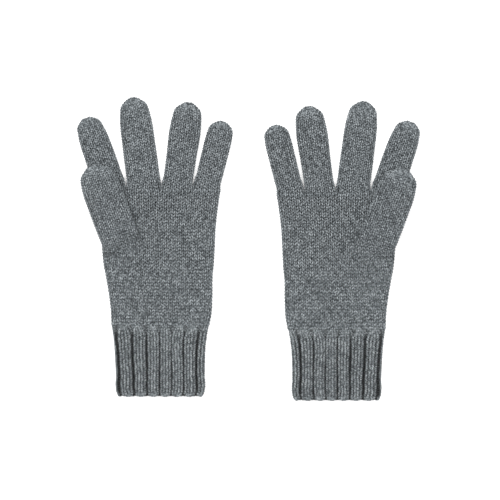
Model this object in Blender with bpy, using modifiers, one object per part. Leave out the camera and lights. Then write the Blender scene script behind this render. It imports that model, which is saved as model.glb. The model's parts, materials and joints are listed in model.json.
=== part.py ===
"""A pair of plain knitted gloves, lying flat with their palms up.

Each glove is knitted in the round: a ribbed cuff on a cast-on edge, the hand, four fingers and
a thumb, each closed by a drawn-in tip.  A finger is split at its knuckle, where it folds, and
turns a little at its root, where it spreads.  Metres, +Z up, fingertips towards +Y, and the
left-hand glove at -X, so both thumbs lie on the outside.
"""

import math
from typing import NamedTuple

import bmesh
import bpy
from mathutils import Vector

# The pair
CUFF_TO_CUFF = 0.1475  # between the middles of the two cuffs
STAGGER = 0.0033  # the right glove lies this much lower than the left one

# The fabric and the flattened tubes made of it
THICKNESS = 0.0090  # of a tube that lies flat, from its underside to its top
WALL = 0.0018  # of one layer of knitting
CLEARANCE = 0.0003  # between pieces that meet
FOLD_HEIGHT = 0.0063  # of a fold line above the underside of its tube

# The cuff
CUFF_LENGTH = 0.0575
CAST_ON_DEPTH = 0.0035
CAST_ON_WIDTH = 0.0716
RIB_WIDTH = 0.0770  # over the ribs, below where they open out
RIB_LENGTH = 0.0460  # from the cast-on edge to where they open out
WRIST_WIDTH = 0.0815
WRIST_FOLD = 60.0  # degrees

# The hand
HAND_LENGTH = 0.1195  # from the cuff to the line of the finger roots
PALM_WIDTH = 0.0922
PALM_PLACE = 0.0550  # above the cuff, where the palm width is measured
PALM_SHIFT = 0.0019  # of the palm's middle, towards the thumb
ROOT_SHIFT = 0.0021  # of the middle of the four finger roots, towards the thumb
ROOT_GAP = 0.0019  # between the roots of neighbouring fingers
WEB_DEPTH = 0.0060  # from the line of the finger roots back to the hand's top edge

# Every fingertip
TIP_DEPTH = 0.0090  # of the drawn-in end
TIP_ROUNDING = 0.0140  # length over which the end narrows
TIP_END = 0.0110  # width left at the very end

# The thumb, which lies on the palm
THUMB_PLACE = 0.0790  # of its root above the cuff
THUMB_INSET = 0.0007  # of its root from the side of the hand
THUMB_PASSAGE = 0.0180  # diameter of the way from the hand into the thumb

# Mesh fineness
SQUARE_END = 0.0006  # of a tube's open end, which has no taper, so that its rim is flat
SIDE_STEPS = 4  # round each side of a tube
CIRCLE_STEPS = 32
MARGIN = 0.0100  # of a cutter beyond what it cuts

KNIT_COLOUR = (0.158, 0.172, 0.178, 1.0)
RIB_COLOUR = (0.135, 0.147, 0.155, 1.0)
TIP_COLOUR = (0.145, 0.158, 0.164, 1.0)

ROOT_LINE = CUFF_LENGTH + HAND_LENGTH


class Digit(NamedTuple):
    name: str
    width: float  # at the root
    tip_width: float  # where the end begins to narrow
    length: float  # from its root's axis to its tip
    fold: float  # from its root's axis to its knuckle
    lean: float  # degrees away from straight, towards the thumb's side
    fold_angle: float  # the furthest that its knuckle folds, degrees


FINGERS = (
    Digit("index", 0.0250, 0.0238, 0.0600, 0.0275, 19.0, 80.0),
    Digit("middle", 0.0275, 0.0258, 0.0736, 0.0335, 7.0, 80.0),
    Digit("ring", 0.0246, 0.0252, 0.0697, 0.0315, -7.0, 80.0),
    Digit("little", 0.0220, 0.0214, 0.0560, 0.0240, -13.5, 80.0),
)
THUMB = Digit("thumb", 0.0305, 0.0290, 0.0610, 0.0270, 19.0, 75.0)


def new_collection(name):
    made = bpy.data.collections.new(name)
    bpy.context.scene.collection.children.link(made)
    return made


def knit_material(name, colour):
    made = bpy.data.materials.new(name)
    made.use_nodes = True
    shader = made.node_tree.nodes["Principled BSDF"]
    shader.inputs["Base Color"].default_value = colour
    shader.inputs["Roughness"].default_value = 0.95
    shader.inputs["Metallic"].default_value = 0.0
    return made


def axis_empty(name, place, parent=None, turn=0.0):
    """An empty on a joint's axis, turned about Z by so many degrees."""
    empty = bpy.data.objects.new(name, None)
    empty.empty_display_size = 0.01
    empty.location = place
    empty.rotation_euler.z = math.radians(turn)
    empty.parent = parent
    parts.objects.link(empty)
    return empty


def tube_section(y, middle, half_width):
    """The points round a flat tube at y: flat above and below, half round at both sides."""
    radius = THICKNESS / 2
    reach = half_width - radius
    points = []
    for side in (1, -1):
        for step in range(SIDE_STEPS + 1):
            angle = math.pi * (step / SIDE_STEPS - 0.5)
            x = reach + radius * math.cos(angle)
            z = radius + side * radius * math.sin(angle)
            points.append((middle + side * x, y, z))
    return points


def knit_tube(name, stations, colour, parent, close_start=False, close_end=False):
    """A tube of one layer of knitting, lofted through (y, middle, half width) stations."""
    stations = list(stations)
    if not close_start:
        y, middle, half_width = stations[0]
        stations.insert(1, (y + SQUARE_END, middle, half_width))
    if not close_end:
        y, middle, half_width = stations[-1]
        stations.insert(-1, (y - SQUARE_END, middle, half_width))
    bm = bmesh.new()
    rings = [[bm.verts.new(p) for p in tube_section(*station)] for station in stations]
    count = len(rings[0])
    for ring, following in zip(rings, rings[1:]):
        for i in range(count):
            j = (i + 1) % count
            bm.faces.new((ring[i], following[i], following[j], ring[j]))
    if close_start:
        bm.faces.new(rings[0])
    if close_end:
        bm.faces.new(reversed(rings[-1]))
    mesh = bpy.data.meshes.new(name)
    bm.to_mesh(mesh)
    bm.free()
    mesh.shade_smooth()
    mesh.set_sharp_from_angle(angle=math.radians(50))
    mesh.materials.append(knit_material(f"{name}_knit", colour))
    tube = bpy.data.objects.new(name, mesh)
    tube.parent = parent
    parts.objects.link(tube)
    wall = tube.modifiers.new("one layer", "SOLIDIFY")
    wall.thickness = WALL
    wall.offset = -1.0
    wall.use_even_offset = True
    return tube


def extruded_cutter(name, corners, travel, parent):
    """A solid for cutting: a flat outline carried along travel."""
    bm = bmesh.new()
    face = bm.faces.new([bm.verts.new(corner) for corner in corners])
    carried = bmesh.ops.extrude_face_region(bm, geom=[face])["geom"]
    moved = [item for item in carried if isinstance(item, bmesh.types.BMVert)]
    bmesh.ops.translate(bm, verts=moved, vec=Vector(travel))
    bmesh.ops.recalc_face_normals(bm, faces=bm.faces)
    mesh = bpy.data.meshes.new(name)
    bm.to_mesh(mesh)
    bm.free()
    cutter = bpy.data.objects.new(name, mesh)
    cutter.parent = parent
    cutter.hide_render = True
    cutter.display_type = "WIRE"
    cutters.objects.link(cutter)
    return cutter


def cut(piece, cutter, operation="DIFFERENCE"):
    boolean = piece.modifiers.new(cutter.name, "BOOLEAN")
    boolean.operation = operation
    boolean.object = cutter


def arc(radius, start, end, steps):
    """Points on a circle about the origin, from one angle in degrees to another."""
    angles = (math.radians(start + (end - start) * i / steps) for i in range(steps + 1))
    return [(radius * math.cos(a), radius * math.sin(a)) for a in angles]


def fold_cutter(name, fold_at, angle, towards, half_span, reach, parent):
    """What lies past a fold line: straight below the line, and leaning back above it.

    Each of the two pieces that meet at the fold loses half the clearance below the line, and
    a wedge of half the fold's angle above it, so that the fold closes without a clash.
    """
    edge = fold_at + towards * CLEARANCE / 2
    top = THICKNESS + MARGIN
    lean_back = (top - FOLD_HEIGHT) * math.tan(math.radians(angle / 2 + 1.0))
    outline = [
        (edge, -MARGIN),
        (edge, FOLD_HEIGHT),
        (edge + towards * lean_back, top),
        (fold_at - towards * reach, top),
        (fold_at - towards * reach, -MARGIN),
    ]
    corners = [(-half_span, y, z) for y, z in outline]
    return extruded_cutter(name, corners, (2 * half_span, 0, 0), parent)


def upright_cutter(name, outline, bottom, top, parent):
    """A solid for cutting with a plan outline, from one height to another."""
    corners = [(x, y, bottom) for x, y in outline]
    return extruded_cutter(name, corners, (0, 0, top - bottom), parent)


def digit_half_width(digit, y):
    """Half the width of a finger: an even taper, then the quarter ellipse of its round tip."""
    shoulder = digit.length - TIP_ROUNDING
    if y <= shoulder:
        share = max(y, 0.0) / shoulder
        return (digit.width + (digit.tip_width - digit.width) * share) / 2
    past = (y - shoulder) / TIP_ROUNDING
    rounded = digit.tip_width / 2 * math.sqrt(max(1 - past**2, 0.0))
    return max(rounded, TIP_END / 2)


def digit_reach(digit):
    """How far a finger's end comes past the line of the finger roots."""
    lean = math.radians(abs(digit.lean))
    return digit.length * math.cos(lean) + TIP_END / 2 * math.sin(lean)


def make_digit(digit, side, glove, root, on_palm=False):
    """A finger: the part by the hand, the part past the knuckle, and the drawn-in tip."""
    stem = f"{side}_{digit.name}"
    mirror = 1 if side == "left" else -1
    spread = axis_empty(f"{stem}_spread_axis", root, glove, mirror * digit.lean)
    radius = digit.width / 2
    span = radius + MARGIN

    # The part by the hand
    shoulder = digit.length - TIP_ROUNDING
    end = digit.fold + MARGIN
    if on_palm:
        starts = [(y, radius * math.sqrt(1 - (y / radius) ** 2)) for y in (-0.90 * radius, -0.66 * radius)]
        starts += [(-0.35 * radius, 0.95 * radius), (0.0, radius)]
    else:
        starts = [(-radius - MARGIN, radius), (0.0, radius)]
    stations = [(y, 0.0, half) for y, half in starts]
    stations.append((end, 0.0, digit_half_width(digit, end)))
    lower = knit_tube(f"{stem}_lower", stations, KNIT_COLOUR, spread, close_start=on_palm)
    beyond = fold_cutter(
        f"{stem}_lower_end", digit.fold, digit.fold_angle, -1, span, 2 * MARGIN, spread
    )
    cut(lower, beyond)
    if on_palm:
        hole = arc(THUMB_PASSAGE / 2, 0, 360, CIRCLE_STEPS)[:-1]
        cut(lower, upright_cutter(f"{stem}_way_in", hole, -MARGIN, THICKNESS / 2, spread))
    else:
        outline = arc(radius, 180, 360, CIRCLE_STEPS // 2)
        outline += [(span, 0.0), (span, digit.length), (-span, digit.length), (-span, 0.0)]
        root_shape = upright_cutter(f"{stem}_root", outline, -MARGIN, THICKNESS + MARGIN, spread)
        cut(lower, root_shape, "INTERSECT")

    # The part past the knuckle and the tip move about the knuckle's fold line
    knuckle = axis_empty(f"{stem}_fold_axis", (0, digit.fold, FOLD_HEIGHT), spread)
    seam = digit.length - TIP_DEPTH

    def past_knuckle(y):
        return (y - digit.fold, 0.0, digit_half_width(digit, y))

    start = digit.fold - MARGIN
    upper_ends = [start, shoulder, (shoulder + seam) / 2, seam - CLEARANCE / 2]
    upper = knit_tube(f"{stem}_upper", [past_knuckle(y) for y in upper_ends], KNIT_COLOUR, knuckle)
    upper.location.z = -FOLD_HEIGHT
    before = fold_cutter(
        f"{stem}_upper_start", digit.fold, digit.fold_angle, 1, span, 2 * MARGIN, spread
    )
    cut(upper, before)

    tip_start = seam + CLEARANCE / 2
    tip_length = digit.length - tip_start
    tip_ends = [tip_start + tip_length * share for share in (0.0, 0.35, 0.65, 0.87, 1.0)]
    tip_stations = [past_knuckle(y) for y in tip_ends]
    tip = knit_tube(f"{stem}_tip", tip_stations, TIP_COLOUR, knuckle, close_end=True)
    tip.location.z = -FOLD_HEIGHT


def make_glove(side):
    mirror = 1 if side == "left" else -1
    low = -STAGGER if side == "right" else 0.0
    longest = ROOT_LINE + max(digit_reach(finger) for finger in FINGERS)
    middle_of_pair = (longest - STAGGER) / 2
    glove = axis_empty(f"{side}_glove", (-mirror * CUFF_TO_CUFF / 2, low - middle_of_pair, 0.0))

    # The cast-on edge and the ribbed cuff fold as one at the wrist
    wrist = axis_empty(f"{side}_wrist_axis", (0, CUFF_LENGTH, FOLD_HEIGHT), glove)
    rib_slope = (RIB_WIDTH - CAST_ON_WIDTH) / RIB_LENGTH

    def cuff_station(y):
        width = CAST_ON_WIDTH + rib_slope * y
        if y > RIB_LENGTH:
            share = (y - RIB_LENGTH) / (CUFF_LENGTH - RIB_LENGTH)
            width = RIB_WIDTH + (WRIST_WIDTH - RIB_WIDTH) * share
        return (y - CUFF_LENGTH, 0.0, width / 2)

    edge_end = CAST_ON_DEPTH - CLEARANCE / 2
    edge = knit_tube(
        f"{side}_cast_on_edge", [cuff_station(y) for y in (0.0, edge_end)], RIB_COLOUR, wrist
    )
    cuff_start = CAST_ON_DEPTH + CLEARANCE / 2
    cuff_ends = (cuff_start, RIB_LENGTH, CUFF_LENGTH, CUFF_LENGTH + MARGIN)
    cuff = knit_tube(f"{side}_cuff", [cuff_station(y) for y in cuff_ends], RIB_COLOUR, wrist)
    for piece in (edge, cuff):
        piece.location.z = -FOLD_HEIGHT
    cut(
        cuff,
        fold_cutter(f"{side}_cuff_end", CUFF_LENGTH, WRIST_FOLD, -1, WRIST_WIDTH, 2 * MARGIN, glove),
    )

    # The hand, from the wrist to the web between the fingers
    roots_width = sum(f.width for f in FINGERS) + ROOT_GAP * (len(FINGERS) - 1)
    hand_widths = (
        (CUFF_LENGTH, 0.0, WRIST_WIDTH),
        (CUFF_LENGTH + PALM_PLACE, PALM_SHIFT, PALM_WIDTH),
        (ROOT_LINE, ROOT_SHIFT, roots_width),
    )

    def hand_station(y):
        lower, upper = hand_widths[:2] if y <= hand_widths[1][0] else hand_widths[1:]
        share = (y - lower[0]) / (upper[0] - lower[0])
        shift = lower[1] + (upper[1] - lower[1]) * share
        width = lower[2] + (upper[2] - lower[2]) * share
        return (y, -mirror * shift, width / 2)

    hand_ends = (CUFF_LENGTH - MARGIN, CUFF_LENGTH + PALM_PLACE, ROOT_LINE - WEB_DEPTH)
    hand = knit_tube(f"{side}_hand", [hand_station(y) for y in hand_ends], KNIT_COLOUR, glove)
    cut(
        hand,
        fold_cutter(f"{side}_hand_start", CUFF_LENGTH, WRIST_FOLD, 1, PALM_WIDTH, 2 * MARGIN, glove),
    )

    # The fingers stand side by side on the line of their roots, and turn there in round seats
    x = -ROOT_SHIFT - roots_width / 2
    for finger in FINGERS:
        x += finger.width / 2
        root = Vector((mirror * x, ROOT_LINE, 0.0))
        make_digit(finger, side, glove, root)
        seat_radius = (finger.width / 2 + CLEARANCE) / math.cos(math.pi / CIRCLE_STEPS)
        seat = [(root.x + a, root.y + b) for a, b in arc(seat_radius, 0, 360, CIRCLE_STEPS)[:-1]]
        seat_cutter = upright_cutter(
            f"{side}_{finger.name}_seat", seat, -MARGIN, THICKNESS + MARGIN, glove
        )
        cut(hand, seat_cutter)
        x += finger.width / 2 + ROOT_GAP

    # The thumb lies on the palm, over a round way in from the hand
    thumb_y = CUFF_LENGTH + THUMB_PLACE
    _, hand_middle, hand_half = hand_station(thumb_y)
    thumb_x = hand_middle - mirror * (hand_half - THUMB_INSET - THUMB.width / 2)
    root = Vector((thumb_x, thumb_y, THICKNESS + CLEARANCE))
    make_digit(THUMB, side, glove, root, on_palm=True)
    hole = arc(THUMB_PASSAGE / 2, 0, 360, CIRCLE_STEPS)[:-1]
    hole = [(thumb_x + a, thumb_y + b) for a, b in hole]
    way_out = upright_cutter(
        f"{side}_thumb_way_out", hole, THICKNESS / 2, THICKNESS + CLEARANCE / 2, glove
    )
    cut(hand, way_out)


for old in list(bpy.data.objects):
    bpy.data.objects.remove(old)
parts = new_collection("knitted_gloves")
cutters = new_collection("cutters")
for side in ("left", "right"):
    make_glove(side)
bpy.context.view_layer.update()
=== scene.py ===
import functools
import json
import math

import bpy
import numpy as np
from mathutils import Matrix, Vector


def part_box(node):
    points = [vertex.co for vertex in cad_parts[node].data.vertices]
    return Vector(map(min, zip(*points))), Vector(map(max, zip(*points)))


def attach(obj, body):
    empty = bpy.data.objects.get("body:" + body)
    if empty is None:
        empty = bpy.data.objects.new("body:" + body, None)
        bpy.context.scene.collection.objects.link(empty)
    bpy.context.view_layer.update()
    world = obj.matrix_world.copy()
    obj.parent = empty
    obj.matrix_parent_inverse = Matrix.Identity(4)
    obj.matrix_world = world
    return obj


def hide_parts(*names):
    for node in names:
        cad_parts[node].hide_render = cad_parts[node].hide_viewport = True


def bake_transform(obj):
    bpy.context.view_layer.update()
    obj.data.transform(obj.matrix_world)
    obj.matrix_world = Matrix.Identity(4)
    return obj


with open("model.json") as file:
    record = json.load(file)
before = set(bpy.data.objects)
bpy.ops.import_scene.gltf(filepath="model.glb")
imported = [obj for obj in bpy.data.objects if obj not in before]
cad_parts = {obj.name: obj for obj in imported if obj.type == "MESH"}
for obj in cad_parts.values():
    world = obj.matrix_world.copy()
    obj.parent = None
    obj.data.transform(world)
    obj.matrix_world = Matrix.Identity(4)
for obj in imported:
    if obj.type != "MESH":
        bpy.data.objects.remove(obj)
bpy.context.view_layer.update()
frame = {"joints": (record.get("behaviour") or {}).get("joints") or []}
scene = bpy.context.scene
scene.view_settings.view_transform = "Standard"

# ------------------------------------------------------------------------------------------
# The hand.  A tube of soft two-ply wool, knitted round and round from the cuff upwards on 56
# stitches, half of them for the palm and half for the back, and a little wider with each row.
# It lies flat, folded along both sides.  The fingers and the thumb are knitted on from it.

HAND_WALES = 28  # columns of stitches, on each face
HAND_ROWS = 43
FACE_WALES = ((0, HAND_WALES), (HAND_WALES, 2 * HAND_WALES))  # the palm's face, and the back's
LOOP_STEPS = 10  # along one stitch
LOOP_SWING = 0.25  # how far a leg leans, in stitch widths
LOOP_RISE = 0.78  # half a loop's height, in rows
LOOP_DEPTH = 0.00075  # of a leg in front of the fabric's middle, and of a head behind it
PURL_DEPTH = 0.6  # how far a purl loop's legs stand behind, as a share of that
YARN_SIDES = 5  # round the yarn
YARN_HALF = 0.00064  # half the yarn's width
YARN_SQUEEZED = 0.25  # the same where the stitches crowd, in stitch widths
YARN_PROUD = 0.00052  # half the yarn's thickness
UNEVEN = 0.045  # of a hand-drawn stitch, in stitches

FABRIC_INSET = LOOP_DEPTH + YARN_PROUD  # from the fabric's outside to its middle
SIDE_INSET = 0.0009  # the same at the folds, where only single loops reach the outline
THICKNESS = 0.0090  # of a tube that lies flat, outside
MIDDLE_THICKNESS = THICKNESS - 2 * FABRIC_INSET
CORNER = MIDDLE_THICKNESS / 2  # radius of a folded side
SIDE_STITCHES_CLOSER = 0.0064  # of the way round
SIDE_DROOP = 0.14  # of the height, at the very fold
RIPPLE = 0.0009  # height of the soft waves of lying fabric
RIPPLES_APART = 2.1  # radians, between the waves of one piece and of the next

WRIST = 0.0575  # from the cast-on edge to where the glove bends
BEND_ABOVE, BEND_BELOW = 0.009, 0.011  # the stretch to either side of the wrist; its ends are found, but nothing bends it
RIB_TOP = WRIST + 0.0025
HAND_TOP = 0.1730  # where the four fingers are divided off
FINGERS_HOLD = 0.030  # over this, below the fingers, the sides stop drooping
ROWS_SHORTEN = 0.06  # the last row is this share under the mean height, the first as much over

# The two edges of the hand: height above the cast-on edge, and place across
THUMB_EDGE = (
    (0.0575, -0.0406), (0.070, -0.0409), (0.085, -0.0425), (0.100, -0.0450), (0.1125, -0.0473),
    (0.125, -0.0484), (0.140, -0.0498), (0.155, -0.0515), (0.177, -0.0545),
)
LITTLE_EDGE = (
    (0.0575, 0.0406), (0.070, 0.0429), (0.085, 0.0437), (0.100, 0.0438), (0.1125, 0.0449),
    (0.125, 0.0456), (0.140, 0.0463), (0.155, 0.0478), (0.177, 0.0511),
)

# The groove in the palm, just below the thumb's first row
CREASE = 0.1208  # where the thumb grows out of the palm
CREASE_BELOW = 0.0050
CREASE_DEPTH = 0.0011
CREASE_HALF = 0.0034
CREASE_ENDS = (-0.046, -0.028)
CREASE_FADE = (0.004, 0.002)  # outside and inside each of its ends
CREASE_SWAY, CREASE_WAVE = 0.0008, 300.0

# Waves: rate across, rate upwards, start, amount
SIDEWAYS_WAVES = ((1.9, 2.3, 0.0, 1.0), (3.1, -1.3, 1.7, 1.0))
UPWARD_WAVES = ((1.9, 1.1, 0.6, 1.0), (-3.1, 1.7, 2.9, 1.0))
RIPPLE_WAVES = (
    (110.0, 60.0, 1.0, 1.0), (-95.0, 70.0, 1.3, 1.0), (190.0, -130.0, 2.7, 0.7),
    (150.0, 260.0, 0.6, 0.5),
)

# The yarn is dyed as loose fibre in several greys, and then spun
DRIFT_WEIGHT, TUFT_WEIGHT, FIBRE_WEIGHT = 0.45, 2.9, 1.2
PLY_RELIEF, FIBRE_RELIEF = 0.3, 1.4
PLIES = 2.0
PLY_TURNS = 3.0  # grooves passed in one stitch


def heather_group():
    """Node group: the colour and the relief of a heather yarn at a point.

    Three noises are added: slow drifts between dye lots of fibre (some 8 mm), tufts of one
    shade (some 1.5 mm) and single fibres that run along the yarn.  The sum picks between a
    dark, a middle and a light grey.  Where the yarn lies deep in the fabric, painted shade
    darkens the grey, down to Deep Shade: it takes the place of the shadow between the loops
    and in the furrows.  The relief is the groove between the plies, a sine of the turn round
    the yarn plus the length along it, and the same single fibres.
    """
    group = bpy.data.node_groups.new("heather yarn", "ShaderNodeTree")
    face = group.interface
    for name in ("Place", "Along"):
        face.new_socket(name, in_out="INPUT", socket_type="NodeSocketVector")
    for name in ("Dark", "Middle", "Light"):
        face.new_socket(name, in_out="INPUT", socket_type="NodeSocketColor")
    for name in ("Forward", "Deep Shade"):
        face.new_socket(name, in_out="INPUT", socket_type="NodeSocketFloat")
    face.new_socket("Color", in_out="OUTPUT", socket_type="NodeSocketColor")
    face.new_socket("Relief", in_out="OUTPUT", socket_type="NodeSocketFloat")
    nodes, links = group.nodes, group.links
    given = nodes.new("NodeGroupInput")
    result = nodes.new("NodeGroupOutput")

    def noise(scale, detail, vector):
        made = nodes.new("ShaderNodeTexNoise")
        made.inputs["Scale"].default_value = scale
        made.inputs["Detail"].default_value = detail
        links.new(vector, made.inputs["Vector"])
        return made.outputs["Fac"]

    def math_node(operation, *values, clamp=False):
        made = nodes.new("ShaderNodeMath")
        made.operation = operation
        made.use_clamp = clamp
        for socket, value in zip(made.inputs, values):
            if isinstance(value, float):
                socket.default_value = value
            else:
                links.new(value, socket)
        return made.outputs[0]

    def colour_mix(factor, first, second):
        made = nodes.new("ShaderNodeMix")
        made.data_type = "RGBA"
        for socket, value in (("Factor", factor), ("A", first), ("B", second)):
            links.new(value, made.inputs[socket])
        return made.outputs["Result"]

    drift = noise(120.0, 1.0, given.outputs["Place"])
    tuft = noise(700.0, 2.0, given.outputs["Place"])
    stretch = nodes.new("ShaderNodeMapping")
    stretch.inputs["Scale"].default_value = (5.0, 9.0, 1.0)
    links.new(given.outputs["Along"], stretch.inputs["Vector"])
    fibre = noise(1.0, 2.0, stretch.outputs["Vector"])
    shade = math_node("MULTIPLY_ADD", math_node("SUBTRACT", drift, 0.5), DRIFT_WEIGHT, 0.5)
    shade = math_node("MULTIPLY_ADD", math_node("SUBTRACT", tuft, 0.5), TUFT_WEIGHT, shade)
    shade = math_node("MULTIPLY_ADD", math_node("SUBTRACT", fibre, 0.5), FIBRE_WEIGHT, shade)
    low = math_node("MULTIPLY", shade, 2.0, clamp=True)
    high = math_node("MULTIPLY_ADD", shade, 2.0, -1.0, clamp=True)
    to_middle = colour_mix(low, given.outputs["Dark"], given.outputs["Middle"])
    colour = colour_mix(high, to_middle, given.outputs["Light"])

    # Painted shade: a smooth step of the yarn's depth darkens the grey, down to Deep Shade where it
    # lies deepest.
    shadow = nodes.new("ShaderNodeMapRange")
    shadow.interpolation_type = "SMOOTHSTEP"
    shadow.inputs["From Min"].default_value = 0.12
    shadow.inputs["From Max"].default_value = 0.92
    links.new(given.outputs["Forward"], shadow.inputs["Value"])
    links.new(given.outputs["Deep Shade"], shadow.inputs["To Min"])
    shaded = nodes.new("ShaderNodeVectorMath")
    shaded.operation = "SCALE"
    links.new(colour, shaded.inputs["Vector"])
    links.new(shadow.outputs["Result"], shaded.inputs["Scale"])
    links.new(shaded.outputs["Vector"], result.inputs["Color"])

    apart = nodes.new("ShaderNodeSeparateXYZ")
    links.new(given.outputs["Along"], apart.inputs["Vector"])
    turns = math_node("MULTIPLY", apart.outputs["Y"], PLIES)
    turns = math_node("MULTIPLY_ADD", apart.outputs["X"], PLY_TURNS, turns)
    ply = math_node("SINE", math_node("MULTIPLY", turns, 2 * math.pi))
    relief = math_node("MULTIPLY", fibre, FIBRE_RELIEF)
    relief = math_node("MULTIPLY_ADD", ply, PLY_RELIEF, relief)
    links.new(relief, result.inputs["Relief"])
    return group


heather = heather_group()


def yarn_material(name, dark, middle, light):
    """Wool: fully rough, with the soft bright edge that its fuzz gives, and a fine relief."""
    made = bpy.data.materials.new(name)
    made.use_nodes = True
    nodes, links = made.node_tree.nodes, made.node_tree.links
    shader = nodes["Principled BSDF"]
    shader.inputs["Roughness"].default_value = 0.92
    shader.inputs["Specular IOR Level"].default_value = 0.25
    shader.inputs["Sheen Weight"].default_value = 0.25
    shader.inputs["Sheen Roughness"].default_value = 0.5
    shader.inputs["Sheen Tint"].default_value = (0.75, 0.80, 0.84, 1.0)
    yarn = nodes.new("ShaderNodeGroup")
    yarn.node_tree = heather
    place = nodes.new("ShaderNodeAttribute")
    place.attribute_name = "place at rest"
    links.new(place.outputs["Vector"], yarn.inputs["Place"])
    along = nodes.new("ShaderNodeUVMap")
    along.uv_map = "along the yarn"
    links.new(along.outputs["UV"], yarn.inputs["Along"])
    # Painted shade: the yarn's depth in the fabric darkens its grey, to 0.06 at the deepest.
    forward = nodes.new("ShaderNodeAttribute")
    forward.attribute_name = "standing forward"
    links.new(forward.outputs["Fac"], yarn.inputs["Forward"])
    yarn.inputs["Deep Shade"].default_value = 0.06
    for socket, colour in (("Dark", dark), ("Middle", middle), ("Light", light)):
        yarn.inputs[socket].default_value = (*colour, 1.0)
    links.new(yarn.outputs["Color"], shader.inputs["Base Color"])
    bump = nodes.new("ShaderNodeBump")
    bump.inputs["Strength"].default_value = 0.5
    bump.inputs["Distance"].default_value = 0.00012
    links.new(yarn.outputs["Relief"], bump.inputs["Height"])
    links.new(bump.outputs["Normal"], shader.inputs["Normal"])
    return made


plain_yarn = yarn_material(
    "heather grey yarn",
    dark=(0.028, 0.033, 0.036),
    middle=(0.112, 0.126, 0.134),
    light=(0.280, 0.305, 0.318),
)


def smooth(at, start, end):
    """0 before start, 1 after end, and an even S between them."""
    t = np.clip((at - start) / (end - start), 0, 1)
    return t * t * (3 - 2 * t)


def waves(x, y, table, shift=1.0):
    """A sum of plane waves: amount times the sine of x and y, each at its rate, plus a start."""
    return sum(
        amount * np.sin(across * x + upwards * y + shift * start)
        for across, upwards, start, amount in table
    )


def curve_through(at, points):
    """The height at `at` of a smooth curve through (place, height) points: a cubic a span."""
    x, y = np.array(points, float).T
    slope = np.gradient(y, x)
    k = np.clip(np.searchsorted(x, at) - 1, 0, len(x) - 2)
    span = x[k + 1] - x[k]
    t = np.clip((at - x[k]) / span, 0, 1)
    return (
        (2 * t**3 - 3 * t**2 + 1) * y[k]
        + (t**3 - 2 * t**2 + t) * span * slope[k]
        + (3 * t**2 - 2 * t**3) * y[k + 1]
        + (t**3 - t**2) * span * slope[k + 1]
    )


def unit(vectors):
    """Each vector divided by its length."""
    return vectors / np.maximum(np.linalg.norm(vectors, axis=-1, keepdims=True), 1e-12)


def yarn_mesh(name, rings, closed, distance, forward):
    """A mesh of yarns from rings of points shaped (rows, steps, sides, 3).

    Each row is one yarn.  Neighbouring rings are joined by quads, and an open yarn's two ends
    are capped.  Two maps come with it: one that gives every quad a place of its own, a strip
    for each row, and one that holds the distance along the yarn and the turn round it.  One
    attribute keeps where each point lies at rest, so that the colours stay with the yarn, and
    another how far forward it lies in the fabric, by which the material paints shade onto the
    yarn's colour.
    """
    rows, steps, sides = rings.shape[:3]
    index = np.arange(rows * steps * sides).reshape(rows, steps, sides)
    near = index if closed else index[:, :-1]
    far = np.roll(index, -1, axis=1) if closed else index[:, 1:]
    quads = np.stack([near, far, np.roll(far, -1, axis=2), np.roll(near, -1, axis=2)], axis=-1)
    corners = quads.ravel()
    starts = np.arange(quads.size // 4) * 4
    if not closed:
        caps = np.concatenate([index[:, 0], index[:, -1, ::-1]]).ravel()
        starts = np.concatenate([starts, quads.size + np.arange(2 * rows) * sides])
        corners = np.concatenate([corners, caps])
    mesh = bpy.data.meshes.new(name)
    mesh.vertices.add(index.size)
    mesh.vertices.foreach_set("co", rings.astype(np.float32).ravel())
    mesh.loops.add(len(corners))
    mesh.loops.foreach_set("vertex_index", corners.astype(np.int32))
    mesh.polygons.add(len(starts))
    mesh.polygons.foreach_set("loop_start", starts.astype(np.int32))
    mesh.polygons.foreach_set("use_smooth", np.ones(len(starts), bool))

    strip_gap, end_gap = 0.06, 0.05  # at a strip's sides, in strips, and at its ends, in quads
    yarns_apart = 7  # so that no two rows share their fibres
    row, step, side = np.indices(quads.shape[:3])[..., None]
    step_at = step + np.array([0, 1, 1, 0])
    side_at = (side + np.array([0, 0, 1, 1])) / sides
    in_strip = strip_gap + (1 - 2 * strip_gap) * side_at
    own_place = ((step_at + end_gap) / (quads.shape[1] + 2 * end_gap), (row + in_strip) / rows)
    run = (distance[step_at], yarns_apart * row + side_at)
    for map_name, places in (("OFBake", own_place), ("along the yarn", run)):
        values = np.zeros((len(corners), 2), np.float32)
        values[: quads.size] = np.stack(places, axis=-1).reshape(-1, 2)
        mesh.uv_layers.new(name=map_name).data.foreach_set("uv", values.ravel())
    rest = mesh.attributes.new("place at rest", "FLOAT_VECTOR", "POINT")
    rest.data.foreach_set("vector", rings.astype(np.float32).ravel())
    standing = mesh.attributes.new("standing forward", "FLOAT", "POINT")
    standing.data.foreach_set("value", forward.astype(np.float32).ravel())
    mesh.update(calc_edges=True)
    mesh.validate()
    return mesh


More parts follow.
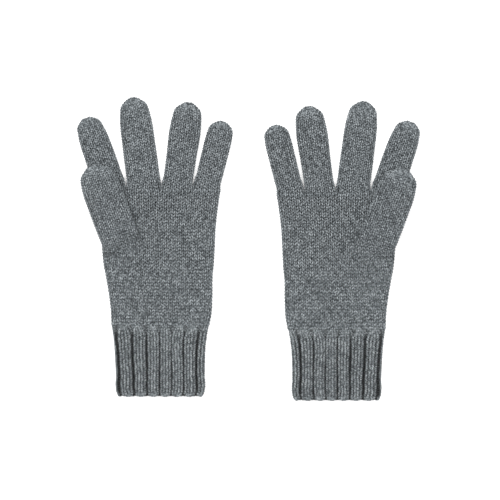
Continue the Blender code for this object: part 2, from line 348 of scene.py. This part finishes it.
def lay_yarn(name, surface, u, v, out, sink, half, closed, outward, per_stitch, material):
    """Lays yarns on surface(u, v), which is in stitches and rows, and returns the object.

    Each point of a yarn is pushed out of the surface by `out` less `sink`, along the cross
    product of the surface's two slopes.  Round it stand the points of an ellipse: `half` wide
    across the yarn's heading and the surface's normal, and YARN_PROUD thick along the normal.
    Without `half` the yarn has its own width, and less where the stitches crowd.
    """
    probe = 0.02  # stitches or rows to either side
    along_u = surface(u + probe, v) - surface(u - probe, v)
    along_v = surface(u, v + probe) - surface(u, v - probe)
    outwards = unit(np.cross(along_u, along_v)) * outward
    path = surface(u, v) + outwards * (out - sink)[..., None]
    if closed:
        heading = unit(np.roll(path, -1, axis=1) - np.roll(path, 1, axis=1))
    else:
        heading = unit(np.gradient(path, axis=1))
    beside = unit(np.cross(heading, outwards))
    proud = np.cross(beside, heading)
    if half is None:
        stitch_width = np.linalg.norm(along_u, axis=-1) / (2 * probe)
        half = np.minimum(YARN_HALF, YARN_SQUEEZED * stitch_width)
    turn = -math.pi / 2 + np.arange(YARN_SIDES) / YARN_SIDES * 2 * math.pi
    rings = (
        path[:, :, None]
        + (beside * half[..., None])[:, :, None] * np.cos(turn)[:, None]
        + (proud * YARN_PROUD)[:, :, None] * np.sin(turn)[:, None]
    )
    distance = np.arange(path.shape[1] + 1) / per_stitch
    # Painted shade: how far each point lies out from the fabric's middle, to either face, less a rib's
    # sink; the material darkens the grey where this is small.
    painted_shade_depth = np.abs(out[..., None] + YARN_PROUD * np.sin(turn)) - sink[..., None]
    mesh = yarn_mesh(name, rings, closed, distance, painted_shade_depth / FABRIC_INSET)
    mesh.materials.append(material)
    piece = bpy.data.objects.new(name, mesh)
    scene.collection.objects.link(piece)
    return piece


def knit(name, surface, round_wales, wales, rows, outward, material, rise=LOOP_RISE, rib=None):
    """Knits rows of loops on surface(wale, row), and returns the object.

    Along a loop a runs from -pi to pi.  Its yarn is at wale + a / 2 pi + swing sin 2a across,
    at row + rise cos a upwards, and at -depth cos 2a out of the fabric, so that the legs stand
    in front and the head and the foot lie behind, and on the outside each loop shows as a V.
    Every point is then moved by small smooth waves that close on themselves round the tube.
    A rib is (is_purl, fold, half).  A purl stitch is the same loop turned back to front, and
    the fold moves the stitches sideways and sinks them.  `half` is half its yarn's width.
    """
    wale = np.arange(*wales)
    angle = (np.arange(LOOP_STEPS) + 0.5) / LOOP_STEPS * 2 * math.pi - math.pi
    across = wale[:, None] + 0.5 + angle / (2 * math.pi) + LOOP_SWING * np.sin(2 * angle)
    out = LOOP_DEPTH * np.tile(-np.cos(2 * angle), len(wale))
    row = np.arange(*rows)[:, None]
    v = row + 0.5 + np.tile(rise * np.cos(angle), len(wale))
    u = np.broadcast_to(across.ravel(), v.shape)

    once = 2 * math.pi / round_wales
    sideways, upwards = (
        UNEVEN * waves(u, v, [(round(rate / once) * once, *wave) for rate, *wave in table])
        for table in (SIDEWAYS_WAVES, UPWARD_WAVES)
    )
    u, v = u + sideways, v + upwards
    half, sink = None, np.zeros(v.shape)
    if rib is not None:
        is_purl, fold, rib_half = rib
        out = out * np.repeat(np.where(is_purl(wale), -PURL_DEPTH, 1.0), LOOP_STEPS)
        half = np.full(v.shape, rib_half)
        shift, sink = fold(u, v)
        u = u + shift
    out = np.broadcast_to(out, v.shape)
    closed = wales[1] - wales[0] == round_wales
    return lay_yarn(name, surface, u, v, out, sink, half, closed, outward, LOOP_STEPS, material)


def flat_tube(turn, width, thickness, left, right):
    """The outline of a tube that lies flat, at `turn` of the way round it: (across, height).

    It starts at the middle of the left side, goes over the top to the right side for the
    first half turn, and comes back underneath.  The corners are arcs of radius left and
    right, and what lies between them is straight.
    """
    turn = np.mod(turn, 1.0)
    under = turn >= 0.5
    largest = np.minimum(thickness / 2, 0.49 * width)
    left, right = np.minimum(left, largest), np.minimum(right, largest)
    side_left, side_right = thickness / 2 - left, thickness / 2 - right
    quarter = math.pi / 2
    flat = width - left - right
    length = side_left + quarter * (left + right) + flat + side_right
    t = np.where(under, 2 - 2 * turn, 2 * turn) * length
    to_top = side_left + quarter * left
    from_top = to_top + flat
    a_left = np.clip((t - side_left) / left, 0, quarter)
    a_right = np.clip((t - from_top) / right, 0, quarter)
    across = left * (1 - np.cos(a_left)) + np.clip(t - to_top, 0, flat) + right * np.sin(a_right)
    rise = (
        np.clip(t, 0, side_left)
        + left * np.sin(a_left)
        - right * (1 - np.cos(a_right))
        - np.maximum(t - from_top - quarter * right, 0)
    )
    return across - width / 2, thickness / 2 + np.where(under, -rise, rise)


def ripple(x, y, seed):
    """A soft unevenness of the lying fabric, from about -1 to 0: a sum of slow waves."""
    highest = sum(amount for *_, amount in RIPPLE_WAVES)
    return waves(x, y, RIPPLE_WAVES, RIPPLES_APART * seed) / (2 * highest) - 0.5


def droop(across, width):
    """The share of its height that the fabric loses: none in the middle, and most at a fold."""
    return SIDE_DROOP * np.abs(2 * across / width) ** 3


def on_top(height):
    """0 on the lower face of the lying tube, 1 on its upper face."""
    return smooth(height / MIDDLE_THICKNESS, 0.5, 1.0)


class Glove:
    """One glove's side, its mirror sign, and the way from its own plan to the world.

    In the plan x runs across from the middle of the cuff, away from the thumb, and y runs up
    from the cast-on edge.
    """

    joint_places = {joint["name"]: joint.get("pos_m") for joint in frame["joints"]}

    def __init__(self, side):
        self.side = side
        self.mirror = 1 if side == "left" else -1
        low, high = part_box(f"{side}_cuff")
        self.x = (low[0] + high[0]) / 2
        self.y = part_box(f"{side}_cast_on_edge")[0][1]

    def world(self, x, y, z):
        """Points of this glove's plan in the world, as an array with a last axis of 3."""
        return np.stack(np.broadcast_arrays(self.x + self.mirror * x, self.y + y, z), axis=-1)

    def joint(self, name):
        """The plan x and y of one of this glove's joints."""
        x, y, _ = self.joint_places[f"{self.side}_{name}"]
        return np.array([(x - self.x) * self.mirror, y - self.y])


gloves = [Glove("left"), Glove("right")]


def crease(x, y):
    """The share of its depth that the groove has: a bell upwards, and a plateau across."""
    middle = CREASE - CREASE_BELOW + CREASE_SWAY * np.sin(CREASE_WAVE * x)
    outside, inside = CREASE_FADE
    start, end = CREASE_ENDS
    plateau = smooth(x, start - outside, start + inside)
    plateau = plateau * (1 - smooth(x, end - inside, end + outside))
    return plateau * np.exp(-(((y - middle) / CREASE_HALF) ** 2))


def hand_surface(glove, wale, row):
    """The middle of the hand's fabric: a flat tube between its two edges, lower at its folds.

    The rows grow shorter on their way up, as a quadratic of their share, and the stitches
    stand closer at the folds, by a sine of the turn.
    """
    share = row / HAND_ROWS
    y = RIB_TOP + (HAND_TOP - RIB_TOP) * (share + ROWS_SHORTEN * share * (1 - share))
    low, high = curve_through(y, THUMB_EDGE), curve_through(y, LITTLE_EDGE)
    width = high - low - 2 * SIDE_INSET
    turn = wale / (2 * HAND_WALES)
    turn = turn - SIDE_STITCHES_CLOSER / 2 * np.sin(4 * math.pi * turn)
    across, height = flat_tube(turn, width, MIDDLE_THICKNESS, CORNER, CORNER)
    x = (low + high) / 2 + across
    lying = 1 - smooth(y, HAND_TOP - FINGERS_HOLD, HAND_TOP)
    relief = lying * RIPPLE * ripple(x, y, seed=glove.mirror + 3) - CREASE_DEPTH * crease(x, y)
    z = FABRIC_INSET + height * (1 - droop(across, width) * lying) + on_top(height) * relief
    return glove.world(x, y, z)


def bend_at_wrist(glove, piece):
    """Bakes the piece's place into its mesh.  The ends of the stretch across the wrist, between the
    hand and the cuff, are found, but nothing bends there.
    """
    start, end = (glove.world(0.0, WRIST + reach, 0.0) for reach in (BEND_ABOVE, -BEND_BELOW))
    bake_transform(piece)


for glove in gloves:
    for face, wales in zip(("palm", "back"), FACE_WALES):
        piece = knit(
            f"{glove.side}_{face}",
            functools.partial(hand_surface, glove),
            round_wales=2 * HAND_WALES,
            wales=wales,
            rows=(0, HAND_ROWS),
            outward=glove.mirror,
            material=plain_yarn,
        )
        bend_at_wrist(glove, piece)
        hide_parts(f"{glove.side}_hand")

# ------------------------------------------------------------------------------------------
# The cuff.  A two-and-two rib on the same 56 stitches: two knit stitches stand forward, the
# next two, purled, draw back behind them, and a deep narrow furrow is left between the ribs.

RIB_WALES = 4  # two knit and two purl
RIB_ROWS = 31
RIB_START = 0.0026  # above the lowest yarn of the cast-on edge
RIB_OFFSET = 1.55  # stitches from the thumb's fold to the first furrow
RIB_DEPTH = 0.0030
RIB_ROUND = 0.0003  # a rib's sides are lower than its middle by this
RIB_SPREAD = 1.82  # how many times their width the knit stitches take up
RIB_CROWD = 0.62  # and the purl ones, under the furrow
RIB_SHOULDER = 0.12  # half the step between the two, in stitches
RIB_RISE = 0.95  # half a loop's height, in rows
RIB_SWAY = 0.09  # stitches, of a furrow to either side on its way up
RIB_SWAY_WAVES = ((3.0, 95.0, 0.0, 1.0), (5.0, -160.0, 1.2, 0.6))
RIB_PULL = 0.52  # stitches, by which lying flat draws the ribs towards the little finger's side
RIB_PULL_START = 0.27  # radians
RIB_RIPPLE = 0.6 * RIPPLE
RIB_YARN = 0.00080  # half the yarn's width
RIB_SPREAD_FADE = (0.0520, 0.0605)  # the ribs open out into plain knitting between these heights
RIB_DEPTH_FADE = (0.0310, 0.0595)  # and their furrows grow shallow between these
CUFF_THUMB_EDGE = (
    (0.000, -0.0343), (0.004, -0.0362), (0.020, -0.0368), (0.045, -0.0384), (0.052, -0.0391),
    (0.0575, -0.0398), (0.065, -0.0402),
)
CUFF_LITTLE_EDGE = (
    (0.000, 0.0347), (0.004, 0.0367), (0.020, 0.0374), (0.045, 0.0382), (0.052, 0.0391),
    (0.0575, 0.0400), (0.065, 0.0408),
)

rib_yarn = yarn_material(
    "rib yarn",
    dark=(0.037, 0.043, 0.046),
    middle=(0.122, 0.137, 0.144),
    light=(0.275, 0.298, 0.308),
)


def cuff_height(row):
    """How far up the cuff a row lies."""
    return RIB_START + (RIB_TOP - RIB_START) * row / RIB_ROWS


def cuff_surface(glove, wale, row):
    """The middle of the ribs' fabric: a flat tube between the cuff's two edges."""
    y = cuff_height(row)
    low, high = curve_through(y, CUFF_THUMB_EDGE), curve_through(y, CUFF_LITTLE_EDGE)
    width = high - low - 2 * SIDE_INSET
    turn = (wale + RIB_OFFSET) / (2 * HAND_WALES)
    across, height = flat_tube(turn, width, MIDDLE_THICKNESS, CORNER, CORNER)
    relief = RIB_RIPPLE * ripple(across, y, seed=glove.mirror + 5)
    z = FABRIC_INSET + height * (1 - droop(across, width)) + on_top(height) * relief
    return glove.world((low + high) / 2 + across, y, z)


def rib_fold(wale, row):
    """How a rib moves a stitch sideways, in stitches, and how far it sinks it.

    Counted from a furrow, stitches 1 to 3 are knit: they spread over the whole rib.  The
    others are purl: they crowd in from both sides under the furrow, and sink behind it.
    """
    y = cuff_height(row)
    spread_out, deep = 1 - smooth(y, *RIB_SPREAD_FADE), 1 - smooth(y, *RIB_DEPTH_FADE)
    place = np.mod(wale, RIB_WALES)
    middle = RIB_WALES / 2
    from_middle = place - middle
    knit_share = 1 - smooth(np.abs(from_middle), 1 - RIB_SHOULDER, 1 + RIB_SHOULDER)
    furrow = RIB_WALES * (place > middle)
    spread = middle + from_middle * RIB_SPREAD
    crowded = furrow + (place - furrow) * RIB_CROWD
    target = knit_share * spread + (1 - knit_share) * crowded
    around = math.pi * wale / HAND_WALES
    sway = RIB_SWAY * waves(around, y, RIB_SWAY_WAVES)
    sway = sway + RIB_PULL * np.sin(2 * around - RIB_PULL_START)
    sink = knit_share * RIB_ROUND * from_middle**2 + (1 - knit_share) * RIB_DEPTH
    return spread_out * (target - place + sway), deep * sink


def is_purl(wale):
    """Whether a stitch of the rib is purled: the first and the last of each four."""
    place = np.mod(wale, RIB_WALES)
    return (place == 0) | (place == RIB_WALES - 1)


for glove in gloves:
    for face, wales in zip(("cuff_front", "cuff_back"), FACE_WALES):
        piece = knit(
            f"{glove.side}_{face}",
            functools.partial(cuff_surface, glove),
            round_wales=2 * HAND_WALES,
            wales=wales,
            rows=(0, RIB_ROWS),
            outward=glove.mirror,
            material=rib_yarn,
            rise=RIB_RISE,
            rib=(is_purl, rib_fold, RIB_YARN),
        )
        bend_at_wrist(glove, piece)
        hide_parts(f"{glove.side}_cuff")

# ------------------------------------------------------------------------------------------
# The cast-on edge.  The row that the cuff is begun on: two strands of the same yarn twisted
# round each other along the mouth.  It follows the ribs, so its lower line is scalloped.

EDGE_STEPS = 6  # along one stitch
EDGE_YARN = 0.00075  # half the yarn's width
EDGE_TWIST = 0.55  # half the distance between the two strands, in rows
EDGE_DEPTH = 0.0006  # the same out of the fabric, in metres
EDGE_SCALLOP = 0.62  # rows
EDGE_ROW = 0.30  # the height of the twist's middle, in rows
EDGE_FOLDS = 0.6  # of what the ribs fold
EDGE_LIGHT, EDGE_SHADE = 0.75, 0.55  # levels of painted shade, given as depth for the material: on a rib, and by how much less in a furrow

for glove in gloves:
    along = np.arange(2 * HAND_WALES * EDGE_STEPS) / EDGE_STEPS
    twist = 2 * math.pi * along + np.array([[0.0], [math.pi]])  # one row for each strand
    scallop = EDGE_SCALLOP * np.cos(2 * math.pi * along / RIB_WALES)
    shift, sink = rib_fold(np.broadcast_to(along, twist.shape), np.zeros(twist.shape))
    piece = lay_yarn(
        f"{glove.side}_cast_on_yarn",
        functools.partial(cuff_surface, glove),
        u=along + EDGE_FOLDS * shift,
        v=EDGE_ROW + scallop + EDGE_TWIST * np.sin(twist),
        out=EDGE_DEPTH * np.cos(twist),
        sink=EDGE_FOLDS * sink,
        half=np.full(twist.shape, EDGE_YARN),
        closed=True,
        outward=glove.mirror,
        per_stitch=EDGE_STEPS,
        material=rib_yarn,
    )
    # Painted shade: the edge is seen from all round, so it gets set levels in place of its depth,
    # lighter on a rib and darker in a furrow.
    painted_shade_depth = np.repeat(EDGE_LIGHT - EDGE_SHADE * sink / RIB_DEPTH, YARN_SIDES)
    forward = piece.data.attributes["standing forward"]
    forward.data.foreach_set("value", painted_shade_depth.astype(np.float32))
    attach(piece, f"{glove.side}_cuff")
    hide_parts(f"{glove.side}_cast_on_edge")

# ------------------------------------------------------------------------------------------
# The fingers.  Each is a smaller tube, knitted on from the hand's own stitches, and drawn
# together at its tip with the last of its yarn, which leaves a few small puckers.

DIGIT_ROW = 0.0022
ROWS_MEET = 0.0010  # by which the first row of a digit reaches over the last of the hand
ROOT_TURNS = 0.013  # over this, from its first row, a digit takes its own lean and width
ROOT_ROUNDS = 0.009  # over this, a side that grows out beside another digit rounds off
ROOT_LIES = 0.025  # and over this it comes to lie, with drooping sides
SQUARE_CORNER = 0.0009  # radius of such a side at the root

TIP_LAST = 1.42  # radians of the closing, of pi / 2
TIP_BEYOND = 1.08  # times that, for the loops that reach past the last row
TIP_HOLE = 0.03  # of the width, at the least
WIDTH_CLOSES, THICKNESS_CLOSES = 0.95, 0.55  # powers of the closing's cosine
GATHER_LOBES = 6
GATHER_DEPTH = 0.38
GATHER_CLOSING = (0.35, 1.3)  # radians, where the puckers begin and where they are deepest
GATHER_FORWARD = 0.30  # of the thickness, by which the gather lies towards the upper face
GATHER_CENTRE = 0.9  # how far the closing tip leaves the lower face, 1 for halfway between

LOWER_END = 0.0150  # from the root line, where the lower knitting gives way to the upper
TIP_PIECE = 0.0090
ROOT_BEND_END = 0.008  # from the root line
BEND_BEFORE, BEND_AFTER = 0.003, 0.015  # the stretch before and after a knuckle; its ends are found, but nothing bends it

# Outside widths, at distances back from the tip
INDEX_WIDTHS = ((0.0, 0.0200), (0.009, 0.0217), (0.018, 0.0243), (0.030, 0.0252), (0.070, 0.0244))
MIDDLE_WIDTHS = ((0.0, 0.0205), (0.009, 0.0232), (0.018, 0.0260), (0.040, 0.0274), (0.080, 0.0276))
RING_WIDTHS = ((0.0, 0.0206), (0.010, 0.0236), (0.022, 0.0260), (0.045, 0.0250), (0.080, 0.0240))
LITTLE_WIDTHS = ((0.0, 0.0190), (0.009, 0.0210), (0.016, 0.0221), (0.028, 0.0221), (0.070, 0.0209))

# Name, length from the root line, widths, length of the rounding, bow, stitches on each face
FINGERS = (
    ("index", 0.0598, INDEX_WIDTHS, 0.0088, (0.0003, -0.0002), 8),
    ("middle", 0.0737, MIDDLE_WIDTHS, 0.0095, (0.0006, 0.0000), 9),
    ("ring", 0.0699, RING_WIDTHS, 0.0098, (0.0003, 0.0016), 8),
    ("little", 0.0550, LITTLE_WIDTHS, 0.0088, (0.0000, 0.0004), 7),
)


class Digit:
    """A digit of one glove: its shape, its tile of the hand's last row, and its lean."""

    root_joint = "spread"
    free_sides = {"index": "left", "little": "right"}  # those with no neighbour

    def __init__(self, glove, name, length, widths, tip_round, bow, wales, first_row, tile):
        self.glove, self.name, self.length, self.widths = glove, name, length, widths
        self.tip_round, self.bow, self.wales = tip_round, bow, wales
        self.first_row, self.tile = first_row, tile
        self.root = glove.joint(f"{name}_{self.root_joint}")
        towards = glove.joint(f"{name}_fold") - self.root
        self.fold = float(np.hypot(*towards))
        self.axis = towards / self.fold
        self.lean = math.atan2(-self.axis[0], self.axis[1])
        self.start = first_row - self.root[1]
        self.dome = (widths[0][1] / 2 - SIDE_INSET + tip_round) / 2 * TIP_LAST
        self.dome_row = (length - tip_round - self.start) / DIGIT_ROW
        self.rows = round(self.dome_row + self.dome / DIGIT_ROW)

    def at(self, distance):
        """The world point on the digit's axis at a distance from its root line."""
        return self.glove.world(*(self.root + distance * self.axis), 0.0)

    def row_at(self, distance):
        """The row nearest to a distance from the root line."""
        return round((distance - self.start) / DIGIT_ROW)

    def lie(self, s):
        """The share of its thickness that a finger has at s, and how high it lies there."""
        return 1.0, 0.0

    def corners(self, s):
        """The radii of the left and the right side: from square to round beside a neighbour."""
        rounding = smooth(s - self.start, 0, ROOT_ROUNDS)
        beside = SQUARE_CORNER + (CORNER - SQUARE_CORNER) * rounding
        free = self.free_sides.get(self.name)
        return [CORNER if side == free else beside for side in ("left", "right")]

    def surface(self, wale, row):
        """The middle of this digit's fabric, at a distance s from its root line.

        Its rows leave the hand level and as wide as their tile, and turn to the digit's lean.
        At the tip the width and the thickness close as powers of the cosine of the closing
        angle, while s follows its sine, and small lobes pucker the gather.
        """
        closing = np.clip((row - self.dome_row) * DIGIT_ROW / self.dome, 0, TIP_BEYOND) * TIP_LAST
        closed = np.maximum(np.cos(closing), TIP_HOLE)
        straight = np.minimum(self.start + row * DIGIT_ROW, self.length - self.tip_round)
        s = straight + (self.tip_round - SIDE_INSET) * np.sin(closing)
        out_of_hand = smooth(s - self.start, 0, ROOT_TURNS)
        tile_low, tile_high = self.tile
        width = curve_through(self.length - s, self.widths)
        width = out_of_hand * width + (1 - out_of_hand) * (tile_high - tile_low)
        width = (width - 2 * SIDE_INSET) * closed**WIDTH_CLOSES
        filled, lift = self.lie(s)
        thickness = MIDDLE_THICKNESS * closed**THICKNESS_CLOSES * filled

        turn = wale / (2 * self.wales)
        across, height = flat_tube(turn, width, thickness, *self.corners(s))
        pucker = smooth(closing, *GATHER_CLOSING) * GATHER_DEPTH
        lobes = 1 - pucker * (0.5 + 0.5 * np.cos(2 * math.pi * GATHER_LOBES * turn))
        across = across * lobes
        lying = smooth(s - self.start, 0, ROOT_LIES) * closed
        height = thickness / 2 + (height - thickness / 2) * lobes
        height = height * (1 - droop(across, np.maximum(width, 1e-4)) * lying)
        forward = MIDDLE_THICKNESS * GATHER_FORWARD
        forward = forward + (MIDDLE_THICKNESS - thickness) / 2 * GATHER_CENTRE
        height = height + forward * (1 - closed) * (closing > 0)

        level = np.stack([(tile_low + tile_high) / 2 + 0 * s, self.first_row + s - self.start], axis=-1)
        leaning = self.root + s[..., None] * self.axis
        middle_line = level + (leaning - level) * out_of_hand[..., None]
        bow_root, bow_tip = self.bow
        across = across + (bow_root + (bow_tip - bow_root) * s / self.length) * out_of_hand
        angle = self.lean * out_of_hand
        x = middle_line[..., 0] + across * np.cos(angle)
        y = middle_line[..., 1] + across * np.sin(angle)
        relief = lying * RIPPLE * ripple(x, y, seed=self.wales + self.glove.mirror)
        return self.glove.world(x, y, FABRIC_INSET + lift + height + on_top(height) * relief)


def knit_digit(digit):
    """The three pieces of a digit: the lower and the upper are baked in place, and the tip is attached
    to the body of the digit's end.
    """
    side, name = digit.glove.side, digit.name
    hand, base, end = f"{side}_hand", f"{side}_{name}_base", f"{side}_{name}_end"
    lower, tip = digit.row_at(LOWER_END), digit.row_at(digit.length - TIP_PIECE)
    all_round = 2 * digit.wales
    for part, *rows in (("lower", 0, lower), ("upper", lower, tip), ("tip", tip, digit.rows)):
        piece = knit(
            f"{side}_{name}_{part}_knit",
            digit.surface,
            round_wales=all_round,
            wales=(0, all_round),
            rows=rows,
            outward=digit.glove.mirror,
            material=plain_yarn,
        )
        if part == "lower":
            digit.at(digit.start)
            digit.at(ROOT_BEND_END)
            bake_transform(piece)
        elif part == "upper":
            before, after = digit.at(digit.fold - BEND_BEFORE), digit.at(digit.fold + BEND_AFTER)
            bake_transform(piece)
        else:
            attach(piece, end)
        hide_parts(f"{side}_{name}_{part}")


for glove in gloves:
    roots = [glove.joint(f"{name}_spread")[0] for name, *_ in FINGERS]
    halves = [curve_through(length, widths) / 2 for _, length, widths, *_ in FINGERS]
    between = [
        (roots[k] + halves[k] + roots[k + 1] - halves[k + 1]) / 2 for k in range(len(FINGERS) - 1)
    ]
    edges = [curve_through(HAND_TOP, THUMB_EDGE), *between, curve_through(HAND_TOP, LITTLE_EDGE)]
    for k, finger in enumerate(FINGERS):
        knit_digit(Digit(glove, *finger, HAND_TOP - ROWS_MEET, edges[k : k + 2]))

# ------------------------------------------------------------------------------------------
# The thumb.  Knitted the same way on a row of stitches picked up across the palm, so it
# starts flat on the palm, fills out as it goes, and lies over the root of the index finger.

THUMB_WIDTHS = ((0.0, 0.0250), (0.010, 0.0286), (0.020, 0.0316), (0.036, 0.0322), (0.080, 0.0306))
THUMB = ("thumb", 0.0608, THUMB_WIDTHS, 0.0115, (0.0000, -0.0013), 10)
THUMB_TILE = (-0.0480, -0.0150)
THUMB_FIRST_ROW = CREASE + 0.0012 - ROWS_MEET
THUMB_FLAT = 0.22  # of its thickness, at the root
THUMB_FILLS = (-0.004, 0.020)  # it fills out between these, from its first row
THUMB_LIES = THICKNESS + 0.0014  # its height, on the index finger
THUMB_SINKS = 0.0056  # by which it is lower at the root, where it grows out of the palm
THUMB_RISES = (-0.002, 0.014)  # it rises between these, from its first row


class Thumb(Digit):
    """A digit rooted at its swing joint on the palm, with both its sides free."""

    root_joint = "swing"

    def lie(self, s):
        """The share of its thickness, and how high it lies: each grows along an even S."""
        filled = smooth(s - self.start, *THUMB_FILLS)
        risen = smooth(s - self.start, *THUMB_RISES)
        return THUMB_FLAT + (1 - THUMB_FLAT) * filled, THUMB_LIES - THUMB_SINKS * (1 - risen)

    def corners(self, s):
        """The radii of the left and the right side: round all the way."""
        return CORNER, CORNER


for glove in gloves:
    knit_digit(Thumb(glove, *THUMB, THUMB_FIRST_ROW, THUMB_TILE))

# ------------------------------------------------------------------------------------------
# The studio: a white table, a wide soft light overhead and an even pale surround.

TABLE_HALF = 3.0
PICTURE_WIDTH = 0.4167  # of table that the camera sees
CAMERA_PLACE = (0.00125, -0.0008)
CAMERA_HEIGHT = 1.6  # above the middle of the fabric

table_corners = [(x * TABLE_HALF, y * TABLE_HALF, 0) for x, y in ((-1, -1), (1, -1), (1, 1), (-1, 1))]
table_mesh = bpy.data.meshes.new("table")
table_mesh.from_pydata(table_corners, [], [(0, 1, 2, 3)])
table = bpy.data.objects.new("table", table_mesh)
table_finish = bpy.data.materials.new("white table")
table_finish.use_nodes = True
table_shader = table_finish.node_tree.nodes["Principled BSDF"]
table_shader.inputs["Base Color"].default_value = (0.93, 0.93, 0.93, 1.0)
table_shader.inputs["Roughness"].default_value = 0.8
table_mesh.materials.append(table_finish)
scene.collection.objects.link(table)

surround = bpy.data.worlds.new("surround")
surround.use_nodes = True
surround.node_tree.nodes["Background"].inputs["Color"].default_value = (1.0, 1.0, 1.0, 1.0)
surround.node_tree.nodes["Background"].inputs["Strength"].default_value = 0.70
scene.world = surround

lamp = bpy.data.lights.new("overhead light", "AREA")
lamp.size = 1.6
lamp.energy = 45.0
overhead = bpy.data.objects.new("overhead light", lamp)
overhead.location = (-0.10, 0.25, 1.5)
overhead.rotation_euler = overhead.location.to_track_quat("Z", "Y").to_euler()
scene.collection.objects.link(overhead)

lens = bpy.data.cameras.new("camera")
lens.sensor_width = 36.0
lens.lens = lens.sensor_width * CAMERA_HEIGHT / PICTURE_WIDTH
lens.clip_end = 20.0
camera = bpy.data.objects.new("camera", lens)
camera.location = (*CAMERA_PLACE, CAMERA_HEIGHT + THICKNESS / 2)
scene.collection.objects.link(camera)
scene.camera = camera
